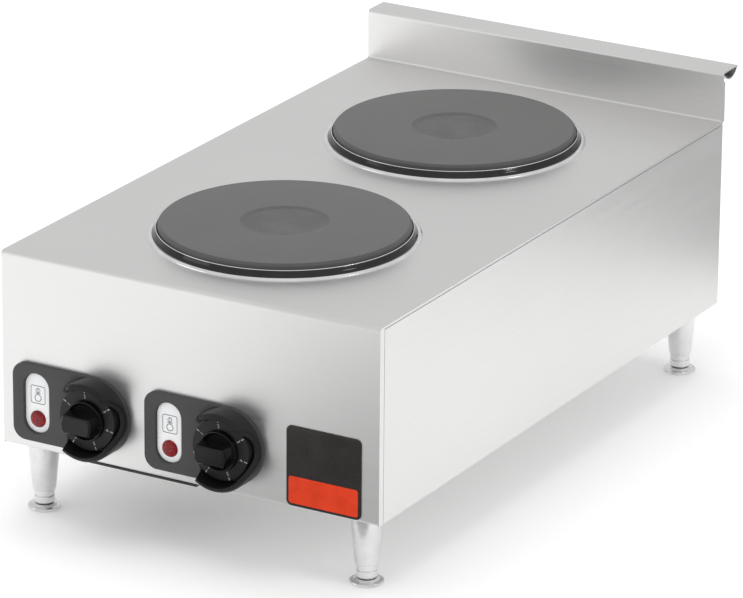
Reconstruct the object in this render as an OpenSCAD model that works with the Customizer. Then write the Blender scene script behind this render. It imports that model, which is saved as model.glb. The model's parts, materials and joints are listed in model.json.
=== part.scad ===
// Two-plate electric hot plate, countertop model with adjustable legs.
// Frame: origin on the counter, midway between the four feet across the width
// and at the middle of the overall depth; +X right, +Y to the back, +Z up.

/* [Cabinet] */
// Width of the cabinet, side to side
body_w = 372.5; // [368:0.5:460]
// Height of the cabinet from its lower edge to the deck
body_h = 175.5; // [140:0.5:240]
// Clear height under the cabinet
clearance_h = 63.7; // [50:0.1:120]
// Thickness of the stainless steel sheet
sheet = 1.2; // [0.9:0.1:1.6]
// Outside radius of the bend between the front apron and the deck
bend_r = 3.5; // [2.5:0.5:6]
// Visible radius of the cove between the deck and the backsplash
cove_r = 2; // [1.5:0.5:5]
// Height of the backsplash above the deck
backsplash_h = 47.2; // [34:0.1:80]
// Depth of the rolled edge along the top of the backsplash
roll_w = 28.2; // [22:0.1:36]
// Drop of the rolled edge below its flat top
roll_h = 9.5; // [8:0.5:12]
// How far the deck turns down over the side panels
lip_h = 2; // [1.5:0.1:4]
// How far the front apron wraps round each vertical corner
corner_return = 7; // [5:0.5:12]
// Width of the flanges along the lower edge
foot_flange = 8; // [7.5:0.5:9]
// Width of the flanges inside the upper and rear edges
inner_flange = 14; // [12:1:20]
// Gap left open at each seam between panels
seam = 0.5; // [0.3:0.1:1]

/* [Hot plates] */
// Diameter of each cast iron plate
plate_d = 220; // [180:1:230]
// Height of the cooking surface above the deck
plate_rise = 12; // [10.5:0.5:16]
// Depth of the plate body below the deck
plate_drop = 8; // [7:0.5:12]
// Diameter of the recess in the middle of the cooking surface
recess_d = 78; // [50:1:90]
// Depth of that recess
recess_depth = 1; // [0.5:0.1:2]
// Width of the bevel round the cooking surface
bevel_w = 4.5; // [2:0.5:6]
// Height of that bevel
bevel_h = 2.4; // [1.5:0.1:3]
// Radial width of the trim ring outside the plate
ring_w = 8.5; // [7.5:0.1:11]
// Thickness of the trim ring's steel
ring_t = 0.8; // [0.6:0.1:1]
// Radial gap between the plate body and the cut-out in the deck
cutout_gap = 3; // [2:0.5:5]
// Deck from the front edge to the front trim ring
front_margin = 41; // [30:0.5:80]
// Deck between the two trim rings
ring_gap = 61.5; // [20:0.5:120]
// Deck from the rear trim ring to the back
rear_margin = 49.5; // [30:0.5:90]

/* [Controls] */
// Distance from the cabinet's left edge to the left bezel
bezel_margin = 12.5; // [6:0.5:20]
// Distance between the two knobs
control_pitch = 132.8; // [126:0.1:134]
// Height of the knob axes above the cabinet's lower edge
knob_rise = 43.6; // [40:0.1:60]
// Distance from a bezel's left edge to its knob axis
bezel_reach = 81.4; // [78:0.1:86]
// Radius of a bezel's round end, half its height
bezel_r = 35.2; // [34:0.1:36]
// Radius of a bezel's two left corners
bezel_corner_r = 12; // [6:0.5:20]
// Thickness of a bezel's flat part
bezel_t = 4.5; // [4:0.1:6]
// Height of the guard round a knob, from the apron
guard_h = 25.5; // [20:0.5:27]
// Thickness of the guard's wall
guard_t = 4.5; // [3:0.1:5]
// Height left of the guard where it dips on the right
guard_dip_h = 9; // [7:0.5:14]
// Width of the label slot
label_w = 25.7; // [20:0.1:30]
// Height of the label slot
label_h = 55; // [44:0.5:60]
// Distance from a bezel's left edge to the middle of the label slot
label_reach = 24; // [20:0.5:30]
// Depth of the label slot
label_depth = 3.7; // [2.5:0.1:3.9]
// Thickness of the label plate
label_t = 0.6; // [0.4:0.1:1]
// Diameter of the pilot lamp's lens
lens_d = 15.3; // [12:0.1:18]
// Height of the lens in front of its label
lens_h = 2.8; // [1.8:0.1:3.5]
// How far the lamp sits below the middle of the label
lens_drop = 14.7; // [12:0.1:18]

/* [Knobs] */
// Diameter of the dial round a knob
dial_d = 56; // [50:0.5:57]
// Height of the dial's face in front of the apron
dial_face = 14; // [12:0.5:16]
// Diameter of the hub inside the dial
hub_d = 35.4; // [30:0.2:40]
// Height of the hub's rim in front of the apron
hub_face = 19; // [17:0.5:22]
// Height of the grip's flat front, the foremost face of the object
knob_reach = 33; // [29:0.5:36]
// Diameter across the grip's rounded ends at its front
grip_d = 28; // [24:0.5:30]
// Thickness of the grip
grip_t = 17; // [10:0.5:18]
// Diameter of the switch shafts
shaft_d = 6; // [5:0.5:8]

/* [Badge] */
// Width of the badge
badge_w = 72; // [40:1:74]
// Height of the badge
badge_h = 72; // [40:1:90]
// Distance from the badge to the cabinet's right edge
badge_margin = 17; // [14:0.5:30]
// Height of the badge above the cabinet's lower edge
badge_rise = 2; // [1:0.5:20]
// Thickness of the badge
badge_t = 1.2; // [0.8:0.1:2]

/* [Legs] */
// Distance from a leg's axis to the cabinet's side
leg_inset_x = 25; // [24:0.5:40]
// Distance from a leg's axis to the cabinet's front or back
leg_inset_y = 24; // [23:0.5:40]
// Diameter of a leg at its top
leg_top_d = 29; // [26:0.5:30]
// Diameter of a leg at its lower end
leg_foot_d = 20.6; // [20.4:0.1:24]
// Diameter of the stem that screws out of a leg
stem_d = 18; // [12:0.1:18]
// Length of stem that shows with the foot screwed in
stem_show = 13; // [8:0.5:18]
// Diameter of the flanged foot
foot_d = 30; // [24:0.5:40]
// Height of the flanged foot
foot_h = 5; // [4.5:0.5:8]

/* [Supply] */
// Distance of the cable gland from the middle of the back
gland_x = 120; // [60:1:125]
// Height of the cable gland above the cabinet's lower edge
gland_rise = 40; // [32:1:60]
// Diameter of the way through the cable gland
gland_bore_d = 13; // [9:0.5:15]
// Diameter of the cable gland's thread
gland_thread_d = 25; // [22:0.5:27]

/* [Hidden] */

$fn = 96;
LEFT = -1;
RIGHT = 1;
FRONT = -1;
REAR = 1;
SIDES = [LEFT, RIGHT];
ROWS = [FRONT, REAR];

// Fits
run_gap = 0.06;      // radial clearance of a turning or sliding fit
bolt_gap = 0.15;     // radial clearance of a screw in its hole
slip = 0.3;          // clearance between loose neighbours
overlap = 0.01;      // a cut runs this far past a face

// Overall layout
ring_r = plate_d / 2 + ring_w;
body_d = front_margin + ring_gap + rear_margin + 4 * ring_r;
y_front = (knob_reach - (roll_w - sheet) - body_d) / 2;
y_back = y_front + body_d;
y_splash = y_back - sheet;
z_low = clearance_h;
z_deck = z_low + body_h;
z_top = z_deck + backsplash_h;
z_floor = z_low + 2 * sheet;      // upper face of the bottom pan
side_top = z_deck - lip_h - 0.8;  // a shadow gap shows under the deck's lip
knob_z = z_low + knob_rise;

function plate_y(row) = row == FRONT ? y_front + front_margin + ring_r : y_back - rear_margin - ring_r;
function knob_x(side) = bezel_reach + bezel_margin - body_w / 2 + (side == RIGHT ? control_pitch : 0);
function leg_x(side) = side * (body_w / 2 - leg_inset_x);
function leg_y(row) = row == FRONT ? y_front + leg_inset_y : y_back - leg_inset_y;

// Hot plates, heights measured from the deck
plate_r = plate_d / 2;
seat_r = plate_r - 1;             // plate body where the trim ring grips it
cutout_r = seat_r - 2 + cutout_gap;
pocket_in = 44;
pocket_out = plate_r - 12;
stud_d = 8;
clamp_z = -32;                    // underside of the clamp bar
clamp_bar_w = 25;
clamp_bar_t = 3;
terminal_y = plate_r * 0.62;
terminal_size = [34, 16, 15];
coil_size = [0.148 * (pocket_out - pocket_in), 6];

// Controls, heights measured outwards from the apron
label_floor = bezel_t - label_depth;
guard_start = -127;               // angle of the guard's lower end
guard_end = 150;                  // angle where the guard runs out at the upper left
guard_dip_angle = 10;
guard_dip_r = 17;
dial_back = 6;
bushing_d = 10;
bushing_end = 8;
switch_size = [40, 44, 38];
lamp_d = 11.6;
shield_z = knob_z + switch_size[1] / 2 + 12;
shield_depth = 78;

// Legs and feet
leg_low = foot_h + stem_show;
leg_high = z_low + sheet;
leg_wall = 1.2;
stem_guide = 26;                  // length of stem held inside a leg
spigot_d = 10;
leg_stud_d = 10;
gusset_w = 40;
gusset_t = 3;
nut_h = 6;

// Fasteners
screw_d = 4;
screw_head_d = 7;
screw_head_h = 2;
screw_len = 8;
side_screw_y = [0.16, 0.39, 0.61, 0.84];      // places along the depth
rear_screw_z = [0.14, 0.5, 0.84];             // places up the back
cover_w = 112;
cover_depth = 110;
cover_t = 1.8;
cover_x = -48;
cover_screw_x = [cover_x - cover_w / 2 + 10, cover_x + cover_w / 2 - 10];

// Colours
steel = [0.78, 0.78, 0.78];
polished = [0.86, 0.87, 0.88];
zinc = [0.62, 0.63, 0.62];
iron = [0.42, 0.42, 0.42];
black = [0.09, 0.09, 0.1];
charcoal = [0.2, 0.2, 0.21];
ceramic = [0.9, 0.88, 0.82];
white = [0.94, 0.95, 0.96];
red = [0.7, 0.1, 0.12];
orange = [0.91, 0.25, 0.07];
brass = [0.78, 0.62, 0.3];
wire_red = [0.62, 0.16, 0.12];

// Places

// Local x to the right, y up and z outwards from the apron
module at_apron() {
    translate([0, y_front, 0]) rotate([90, 0, 0]) children();
}

module at_knob(side) {
    at_apron() translate([knob_x(side), knob_z, 0]) children();
}

module at_label(side) {
    at_knob(side) translate([label_reach - bezel_reach, 0, 0]) children();
}

module at_lamp(side) {
    at_label(side) translate([0, -lens_drop, 0]) children();
}

module at_plate(row) {
    translate([0, plate_y(row), z_deck]) children();
}

module at_leg(row, side) {
    translate([leg_x(side), leg_y(row), 0]) children();
}

module at_badge() {
    x = body_w / 2 - badge_margin - badge_w / 2;
    y = z_low + badge_rise + badge_h / 2;
    at_apron() translate([x, y, 0]) children();
}

// Local x to the left, y up and z outwards from the back
module at_gland() {
    translate([gland_x, y_back, z_low + gland_rise]) rotate([-90, 0, 0]) children();
}

// Screws that hold the bottom pan to the side panels, heads underneath
module at_side_screws() {
    for (side = SIDES, place = side_screw_y)
        translate([side * (body_w / 2 - foot_flange / 2 - sheet / 2), y_front + place * body_d, z_low])
            children();
}

// Screws that hold the rear panel to the side panels, heads behind
module at_rear_screws() {
    for (side = SIDES, place = rear_screw_z)
        translate([side * (body_w / 2 - inner_flange / 2 - sheet / 2), y_back, z_low + place * body_h])
            rotate([90, 0, 0]) children();
}

// Screws that hold the access cover to the bottom pan, heads underneath
module at_cover_screws() {
    for (x = cover_screw_x, y = [leg_inset_y, cover_depth - 10])
        translate([x, y_front + y, z_low - cover_t]) children();
}

// Shapes

// Quarter of a bent sheet: outside radius r, in the quadrant that starts at angle a
module bend(r, t, a) {
    rotate([0, 0, a]) intersection() {
        difference() {
            circle(r = r);
            circle(r = r - t);
        }
        square(r);
    }
}

module bar(a, b) {
    translate([min(a[0], b[0]), min(a[1], b[1])]) square([abs(b[0] - a[0]), abs(b[1] - a[1])]);
}

// Extrudes a section drawn in (y, z) across the width
module across(width) {
    rotate([90, 0, 90]) linear_extrude(height = width, center = true) children();
}

module box(a, b) {
    translate(a) cube(b - a);
}

// A box given for the right side, mirrored to the left when asked
module side_box(side, a, b) {
    if (side == RIGHT) box(a, b);
    else mirror([1, 0, 0]) box(a, b);
}

module slot(width, height) {
    for (s = [-1, 1]) translate([0, s * (height - width) / 2]) circle(d = width);
    square([width, height - width], center = true);
}

module rounded_square(width, height, r) {
    square([width - 2 * r, height], center = true);
    square([width, height - 2 * r], center = true);
    for (x = [-1, 1], y = [-1, 1]) translate([x * (width / 2 - r), y * (height / 2 - r)]) circle(r = r);
}

module hex_nut(across_flats, height, hole_d) {
    difference() {
        cylinder(d = across_flats / cos(30), h = height, $fn = 6);
        translate([0, 0, -overlap]) cylinder(d = hole_d + 2 * run_gap, h = height + 2 * overlap);
    }
}

module hole(d, from, to) {
    translate([0, 0, from]) cylinder(d = d, h = to - from);
}

// A pan head screw; its shank runs along +Z from the face that the head bears on
module screw() {
    translate([0, 0, -screw_head_h]) cylinder(d = screw_head_d, h = screw_head_h);
    translate([0, 0, -overlap]) cylinder(d = screw_d, h = screw_len);
}

module screw_hole() {
    hole(screw_d + 2 * bolt_gap, -screw_len, 2 * screw_len);
}

// A wire of straight lengths between points, with a rounded knuckle at each turn
module wire(points, d) {
    for (i = [0 : len(points) - 2]) {
        run = points[i + 1] - points[i];
        translate(points[i]) rotate([0, acos(run[2] / norm(run)), atan2(run[1], run[0])])
            cylinder(d = d, h = norm(run), $fn = 24);
    }
    for (i = [1 : 1 : len(points) - 2]) translate(points[i]) sphere(d = 1.12 * d, $fn = 24);
}

// Cabinet

// Section of the bent sheet: apron, deck, backsplash and rolled edge
module deck_section() {
    roll_r = (pow(roll_w / 2, 2) + pow(roll_h, 2)) / (2 * roll_h);
    roll_gap = 2.5;
    bar([y_front, z_low + 2 * sheet], [y_front + sheet, z_deck - bend_r]);
    translate([y_front + 2 * sheet, z_low + 2 * sheet]) bend(2 * sheet, sheet, 180);
    bar([y_front + 2 * sheet, z_low], [y_front + corner_return, z_low + sheet]);
    translate([y_front + bend_r, z_deck - bend_r]) bend(bend_r, sheet, 90);
    bar([y_front + bend_r, z_deck - sheet], [y_splash - cove_r, z_deck]);
    translate([y_splash - cove_r, z_deck + cove_r]) bend(cove_r + sheet, sheet, 270);
    bar([y_splash, z_deck + cove_r], [y_back, z_top - bend_r]);
    translate([y_splash + bend_r, z_top - bend_r]) bend(bend_r, sheet, 90);
    bar([y_splash + bend_r, z_top - sheet], [y_splash + roll_w, z_top]);
    intersection() {
        translate([y_splash + roll_w / 2, z_top - roll_h + roll_r]) difference() {
            circle(r = roll_r);
            circle(r = roll_r - sheet);
        }
        bar([y_back + roll_gap, z_top - roll_h], [y_splash + roll_w, z_top - sheet / 2]);
    }
}

// Side view of the cabinet, set back from the front and from the top, with its upper corner rounded
module side_outline(back, down, r) {
    bar([y_front + back, z_low], [y_back, z_deck - r - down]);
    bar([y_front + back + r, z_low], [y_back, z_deck - down]);
    translate([y_front + back + r, z_deck - r - down]) circle(r = r);
}

// The folded edges at both ends of the sheet: corner returns and deck lips
module deck_edges() {
    for (side = SIDES) translate([side * (body_w - sheet) / 2, 0, 0]) across(sheet) {
        difference() {
            side_outline(0, 0, bend_r);
            side_outline(corner_return, lip_h, 2 * seam);
        }
        bar([y_splash, z_deck], [y_splash + 4, z_top - roll_h]);
    }
}

module deck_panel() {
    color(steel) difference() {
        union() {
            across(body_w) deck_section();
            deck_edges();
        }
        for (row = ROWS) at_plate(row) hole(2 * cutout_r, -sheet - 1, 1);
        for (side = SIDES) {
            at_knob(side) hole(bushing_d + 2 * slip, -sheet - 1, 1);
            at_lamp(side) hole(lamp_d + 2 * slip, -sheet - 1, 1);
        }
    }
}

module side_panel(side) {
    x_out = body_w / 2;
    x_in = x_out - sheet;
    y_start = y_front + corner_return + seam;
    z_start = z_floor + 6;
    z_under = z_deck - sheet;
    color(steel) difference() {
        union() {
            side_box(side, [x_in, y_start, z_low], [x_out, y_back, side_top]);
            side_box(side, [x_out - foot_flange, y_start + sheet, z_low],
                [x_out, y_back - foot_flange - slip, z_low + sheet]);
            side_box(side, [x_in - sheet, y_front + sheet, z_start], [x_in, y_start + 14, z_deck - bend_r]);
            side_box(side, [x_in - sheet, y_front + bend_r, side_top - 14],
                [x_in, y_back - 2 * sheet, z_under]);
            side_box(side, [x_out - inner_flange, y_front + 2 * sheet + bend_r, z_under - sheet],
                [x_in, y_back - 2 * sheet, z_under]);
            side_box(side, [x_out - inner_flange, y_back - 2 * sheet, z_start],
                [x_out, y_back - sheet, side_top - 4]);
        }
        at_side_screws() screw_hole();
        at_rear_screws() screw_hole();
        for (row = ROWS) at_leg(row, side) hole(leg_top_d + 2 * slip, z_low - 1, z_floor);
    }
}

module rear_panel() {
    half_w = body_w / 2 - sheet - slip;
    flange_w = body_w / 2 - inner_flange - 2;
    vent_w = 5;
    vent_h = 46;
    vent_pitch = 11;
    color(steel) difference() {
        union() {
            box([-half_w, y_back - sheet, z_low], [half_w, y_back, z_deck - sheet - slip]);
            box([-flange_w, y_back - inner_flange, z_deck - 2 * sheet], [flange_w, y_back, z_deck - sheet]);
            box([-half_w, y_back - foot_flange, z_low], [half_w, y_back, z_low + sheet]);
        }
        at_gland() hole(gland_thread_d + 2 * bolt_gap, -sheet - 1, 1);
        at_rear_screws() screw_hole();
        at_side_screws() screw_hole();
        for (side = SIDES) at_leg(REAR, side) hole(leg_top_d + 2 * slip, z_low - 1, z_floor);
        for (i = [-4 : 4]) translate([i * vent_pitch, y_back, z_deck - 50]) rotate([90, 0, 0])
            translate([0, 0, -1]) linear_extrude(height = sheet + 2) slot(vent_w, vent_h);
    }
}

module bottom_pan() {
    half_w = body_w / 2 - sheet - slip;
    vent_w = 6;
    vent_h = 60;
    vent_pitch = 16;
    color(steel) difference() {
        box([-half_w, y_front + 2 * sheet + slip, z_low + sheet], [half_w, y_back - sheet - slip, z_floor]);
        for (row = ROWS, i = [-5 : 5]) translate([i * vent_pitch, plate_y(row) + 20, z_low])
            linear_extrude(height = 3 * sheet) slot(vent_w, vent_h);
        for (row = ROWS, side = SIDES) at_leg(row, side) hole(leg_stud_d + 2 * bolt_gap, z_low, z_floor + 1);
        at_side_screws() screw_hole();
        at_cover_screws() screw_hole();
    }
}

module control_access_cover() {
    color(black) difference() {
        box([cover_x - cover_w / 2, y_front + 0.5, z_low - cover_t],
            [cover_x + cover_w / 2, y_front + cover_depth, z_low]);
        at_cover_screws() screw_hole();
    }
}

// Shield between the switches and the plates, open at the back for the wires
module heat_shield() {
    half_w = body_w / 2 - inner_flange - 4;
    y_near = y_front + sheet;
    y_far = y_front + shield_depth;
    notch = [60, 4, 50];
    color(zinc) difference() {
        union() {
            box([-half_w, y_near, shield_z], [half_w, y_far, shield_z + 1]);
            box([-half_w, y_near, shield_z - 10], [half_w, y_near + 1, shield_z + 1]);
            box([-half_w, y_far - 1, z_floor], [half_w, y_far, shield_z + 1]);
        }
        for (side = SIDES) translate([knob_x(side) - notch[0] / 2, y_far - 2, z_floor + 8]) cube(notch);
    }
}

module panel_screws() {
    color(polished) {
        at_side_screws() screw();
        at_rear_screws() screw();
        at_cover_screws() screw();
    }
}

// Legs and feet

module leg_gussets() {
    color(zinc) for (row = ROWS, side = SIDES) at_leg(row, side) difference() {
        box([-gusset_w / 2, -gusset_w / 2, z_floor], [gusset_w / 2, gusset_w / 2, z_floor + gusset_t]);
        hole(leg_stud_d + 2 * bolt_gap, z_floor - 1, z_floor + gusset_t + 1);
    }
}

module leg_nuts() {
    color(zinc) for (row = ROWS, side = SIDES) at_leg(row, side)
        translate([0, 0, z_floor + gusset_t]) hex_nut(17, nut_h, leg_stud_d);
}

module leg(row, side) {
    top_wall = 3;
    guide_top = leg_low + stem_guide + 3;
    inner_top_d = leg_top_d - 4 * leg_wall;
    color(polished) at_leg(row, side) difference() {
        union() {
            translate([0, 0, leg_low]) cylinder(d1 = leg_foot_d, d2 = leg_top_d, h = leg_high - leg_low);
            hole(leg_stud_d, leg_high - 1, z_floor + gusset_t + nut_h + 3);
        }
        hole(stem_d + 2 * run_gap, leg_low - 1, guide_top);
        translate([0, 0, guide_top - overlap])
            cylinder(d1 = stem_d + 2 * run_gap, d2 = inner_top_d, h = leg_high - top_wall - guide_top);
    }
}

module foot_stem(row, side) {
    chamfer = 1;
    color(polished) at_leg(row, side) rotate_extrude() polygon([
        [0, 2], [spigot_d / 2, 2], [spigot_d / 2, foot_h + slip], [stem_d / 2, foot_h + slip],
        [stem_d / 2, leg_low + stem_guide - chamfer], [stem_d / 2 - chamfer, leg_low + stem_guide],
        [0, leg_low + stem_guide]
    ]);
}

module foot_pad(row, side) {
    r = foot_d / 2;
    hub_r = stem_d / 2 + 0.6;
    socket_r = spigot_d / 2 + run_gap;
    color(polished) at_leg(row, side) rotate_extrude() polygon([
        [0, 0], [r - 1, 0], [r, 1], [r, foot_h - 2], [r - 0.8, foot_h - 1.2], [r - 2, foot_h - 1.4],
        [hub_r + 1, foot_h - 2.2], [hub_r, foot_h], [socket_r, foot_h], [socket_r, 1.6], [0, 1.6]
    ]);
}

// Hot plates

module hotplate(row) {
    grip_z = 4;                   // the trim ring grips the plate below this height
    boss_depth = 14;
    color(iron) at_plate(row) difference() {
        rotate_extrude() polygon([
            [0, -plate_drop], [seat_r - 2, -plate_drop], [seat_r - 2, 0], [seat_r, 0], [seat_r, grip_z],
            [plate_r, grip_z], [plate_r, plate_rise - bevel_h], [plate_r - bevel_w, plate_rise],
            [recess_d / 2, plate_rise], [recess_d / 2 - recess_depth, plate_rise - recess_depth],
            [0, plate_rise - recess_depth]
        ]);
        translate([0, 0, -plate_drop]) rotate_extrude() bar([pocket_in, -1], [pocket_out, coil_size[1] + 1]);
        hole(stud_d, -plate_drop - 1, boss_depth - plate_drop);
    }
}

module heating_coils(row) {
    first = pocket_in + 8;
    last = pocket_out - 4 - coil_size[0];
    color(ceramic) at_plate(row) translate([0, 0, -plate_drop]) for (i = [0 : 2]) {
        r = first + i * (last - first) / 2;
        rotate_extrude() bar([r, 0], [r + coil_size[0], coil_size[1]]);
    }
}

// Bent steel ring: a rolled rim that hides the gap, and a flange that lies on the deck
module trim_ring(row) {
    inner_r = plate_r + slip;
    roll_r = (ring_w - slip - 1.1) / 2;
    roll_z = 1.2 + roll_r;
    color(polished) at_plate(row) rotate_extrude() {
        difference() {
            translate([inner_r + roll_r, roll_z]) circle(r = roll_r);
            translate([inner_r + roll_r, roll_z]) circle(r = roll_r - ring_t);
            bar([0, 0], [inner_r + roll_r, roll_z]);
        }
        bar([inner_r + roll_r, 1.2], [ring_r - 3, 1.2 + ring_t]);
        bar([inner_r + roll_r, 0], [ring_r, ring_t]);
        bar([inner_r + roll_r, 0], [inner_r + roll_r + 1.5, 1.2 + ring_t]);
    }
}

module hotplate_cover(row) {
    cover_r = pocket_out + 3;
    z = -plate_drop - 0.8;
    color(zinc) at_plate(row) difference() {
        translate([0, 0, z]) cylinder(r = cover_r, h = 0.8);
        hole(stud_d + 4, z - 1, z + 2);
        translate([-terminal_size[0] / 2 + 4, terminal_y - 4, z - 1]) cube([terminal_size[0] - 8, 8, 3]);
    }
}

module clamp_bar(row) {
    reach = cutout_r + 14;
    leg_in = cutout_r + 3;
    color(zinc) at_plate(row) difference() {
        rotate([90, 0, 0]) linear_extrude(height = clamp_bar_w, center = true) {
            bar([-leg_in, clamp_z], [leg_in, clamp_z + clamp_bar_t]);
            for (s = [-1, 1]) {
                bar([s * leg_in, clamp_z], [s * (leg_in - clamp_bar_t), -sheet]);
                bar([s * leg_in, -sheet - clamp_bar_t], [s * reach, -sheet]);
            }
        }
        hole(stud_d + 2 * bolt_gap, clamp_z - 1, clamp_z + clamp_bar_t + 1);
    }
}

module hotplate_stud(row) {
    color(zinc) at_plate(row) hole(stud_d - 2 * run_gap, clamp_z - 12, 13 - plate_drop);
}

module clamp_nuts() {
    color(zinc) for (row = ROWS) at_plate(row) translate([0, 0, clamp_z - 6.5]) hex_nut(13, 6.5, stud_d);
}

module hotplate_terminals(row) {
    top = -plate_drop - 0.8;
    color(ceramic) at_plate(row) difference() {
        box([-terminal_size[0] / 2, terminal_y - terminal_size[1] / 2, top - terminal_size[2]],
            [terminal_size[0] / 2, terminal_y + terminal_size[1] / 2, top]);
        for (i = [0 : 3]) translate([terminal_wire_x(i), terminal_y, 0])
            hole(3.4, top - terminal_size[2] - 1, top - 5);
    }
}

function terminal_wire_x(i) = (i - 1.5) * 8;

// Controls

module bezel_outline() {
    inner = bezel_r - bezel_corner_r;
    circle(r = bezel_r);
    bar([bezel_corner_r - bezel_reach, -bezel_r], [0, bezel_r]);
    bar([-bezel_reach, -inner], [0, inner]);
    for (s = [-1, 1]) translate([bezel_corner_r - bezel_reach, s * inner]) circle(r = bezel_corner_r);
}

// Wall round the knob: open on the left, low on the right, fading out at the upper left
module knob_guard() {
    round_r = 2.5;
    fade_x = [-12, -30];
    difference() {
        rotate([0, 0, guard_start]) rotate_extrude(angle = guard_end - guard_start) {
            bar([bezel_r - guard_t, 0], [bezel_r, guard_h - round_r]);
            bar([bezel_r - guard_t, 0], [bezel_r - round_r, guard_h]);
            translate([bezel_r - round_r, guard_h - round_r]) circle(r = round_r);
        }
        rotate([0, 0, guard_dip_angle]) translate([bezel_r + 3, 0, guard_dip_h + guard_dip_r])
            rotate([90, 0, 0]) cylinder(r = guard_dip_r, h = 4 * bezel_r, center = true);
        rotate([90, 0, 0]) translate([0, 0, -2 * bezel_r]) linear_extrude(height = 2 * bezel_r)
            polygon([
                [fade_x[0], guard_h + 1], [fade_x[0], guard_h], [fade_x[1], bezel_t],
                [-2 * bezel_r, bezel_t], [-2 * bezel_r, guard_h + 1]
            ]);
    }
}

module control_bezel(side) {
    color(charcoal) at_knob(side) difference() {
        union() {
            linear_extrude(height = bezel_t) bezel_outline();
            knob_guard();
        }
        translate([label_reach - bezel_reach, 0, label_floor]) linear_extrude(height = bezel_t)
            slot(label_w, label_h);
        translate([label_reach - bezel_reach, -lens_drop, 0]) hole(lamp_d + 2 * slip, -1, bezel_t + 1);
        hole(bushing_d + 2 * slip, -1, bezel_t + 1);
    }
}

module label_plate(side) {
    color(white) at_label(side) translate([0, 0, label_floor]) difference() {
        linear_extrude(height = label_t) slot(label_w - 2 * slip, label_h - 2 * slip);
        translate([0, -lens_drop, 0]) hole(lamp_d - 1, -1, label_t + 1);
    }
}

// Shallow dome with a spigot that plugs into the lamp body
module pilot_lens(side) {
    base = label_floor + label_t;
    rim_h = 1;
    dome_h = lens_h - rim_h;
    dome_r = (pow(lens_d / 2, 2) + pow(dome_h, 2)) / (2 * dome_h);
    color(red) at_lamp(side) {
        intersection() {
            translate([0, 0, base + lens_h - dome_r]) sphere(r = dome_r);
            hole(lens_d, base, base + lens_h + 1);
        }
        hole(lamp_d - 4, base - 3, base + 0.5);
    }
}

module pilot_body(side) {
    tab = [4.8, 0.8, 8];
    color(black) at_lamp(side) {
        difference() {
            hole(lamp_d, -24, label_floor);
            hole(lamp_d - 4 + 2 * slip, label_floor + label_t - 3.2, label_floor + 1);
        }
        for (x = [-3, 3]) translate([x - tab[1] / 2, -tab[0] / 2, -24 - tab[2]])
            cube([tab[1], tab[0], tab[2] + 1]);
    }
}

module switch_body(side) {
    tab = [6.3, 0.8, 9];
    back = -sheet - switch_size[2];
    color(ceramic) at_knob(side) difference() {
        union() {
            translate([-switch_size[0] / 2, -switch_size[1] / 2, back]) cube(switch_size);
            hole(bushing_d, -sheet - 1, bushing_end);
            for (i = [0 : 5]) translate([switch_tab(i)[0] - tab[0] / 2, switch_tab(i)[1], back - tab[2]])
                cube([tab[0], tab[1], tab[2] + 1]);
        }
        hole(shaft_d + 2 * run_gap, back + 12, bushing_end + 1);
    }
}

function switch_tab(i) = [(i % 3 - 1) * 12, i < 3 ? -12 : 12];

module switch_nuts() {
    color(brass) for (side = SIDES) at_knob(side) translate([0, 0, bezel_t]) hex_nut(14, 2.4, bushing_d);
}

module switch_shaft(side) {
    color(zinc) at_knob(side) hole(shaft_d, -sheet - switch_size[2] + 13, knob_reach - 9);
}

module knob(side) {
    rim_t = 1.4;
    hub_floor = dial_face + 2;
    skirt_t = 3.5;
    edge = 1;
    color(black) at_knob(side) difference() {
        union() {
            difference() {
                union() {
                    hole(dial_d, dial_back, dial_face - edge);
                    translate([0, 0, dial_face - edge])
                        cylinder(d1 = dial_d, d2 = dial_d - 2 * edge, h = edge);
                    hole(hub_d, dial_back, hub_face);
                }
                hole(hub_d - 2 * rim_t, hub_floor, hub_face + 1);
            }
            intersection() {
                translate([0, 0, dial_back]) cylinder(d1 = hub_d, d2 = grip_d, h = knob_reach - dial_back);
                box([-hub_d, -grip_t / 2, dial_back], [hub_d, grip_t / 2, knob_reach]);
            }
        }
        translate([0, 0, dial_back]) rotate_extrude()
            bar([bushing_d, -1], [dial_d / 2 - skirt_t, dial_face - dial_back - skirt_t]);
        hole(2 * bushing_d + overlap, dial_back - 1, bushing_end + 1);
        hole(shaft_d + 2 * run_gap, dial_back - 1, knob_reach - 8.5);
    }
}

// Badge: a plain dark plate with a coloured band along its lower part

badge_corner_r = 5;
band_rise = 27;
band_border = 2.5;

module badge_plate() {
    color(black) at_badge() linear_extrude(height = badge_t) rounded_square(badge_w, badge_h, badge_corner_r);
}

module badge_inlay() {
    color(orange) at_badge() translate([0, 0, badge_t]) linear_extrude(height = 0.4) intersection() {
        rounded_square(badge_w - 2 * band_border, badge_h - 2 * band_border, badge_corner_r - band_border);
        translate([-badge_w / 2, -badge_h / 2]) square([badge_w, band_rise]);
    }
}

// Supply

block_size = [58, 22, 18];
block_x = gland_x - 78;
block_y = y_back - 60;

module terminal_block() {
    color(black) translate([block_x, block_y, z_floor]) difference() {
        translate([-block_size[0] / 2, -block_size[1] / 2, 0]) cube(block_size);
        for (i = [0 : 2]) translate([block_way(i), 0, 0]) {
            hole(7, block_size[2] - 7, block_size[2] + 1);
            translate([0, 0, 8]) rotate([90, 0, 0]) cylinder(d = 4.5, h = 2 * block_size[1], center = true);
        }
    }
}

function block_way(i) = (i - 1) * 17;

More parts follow.
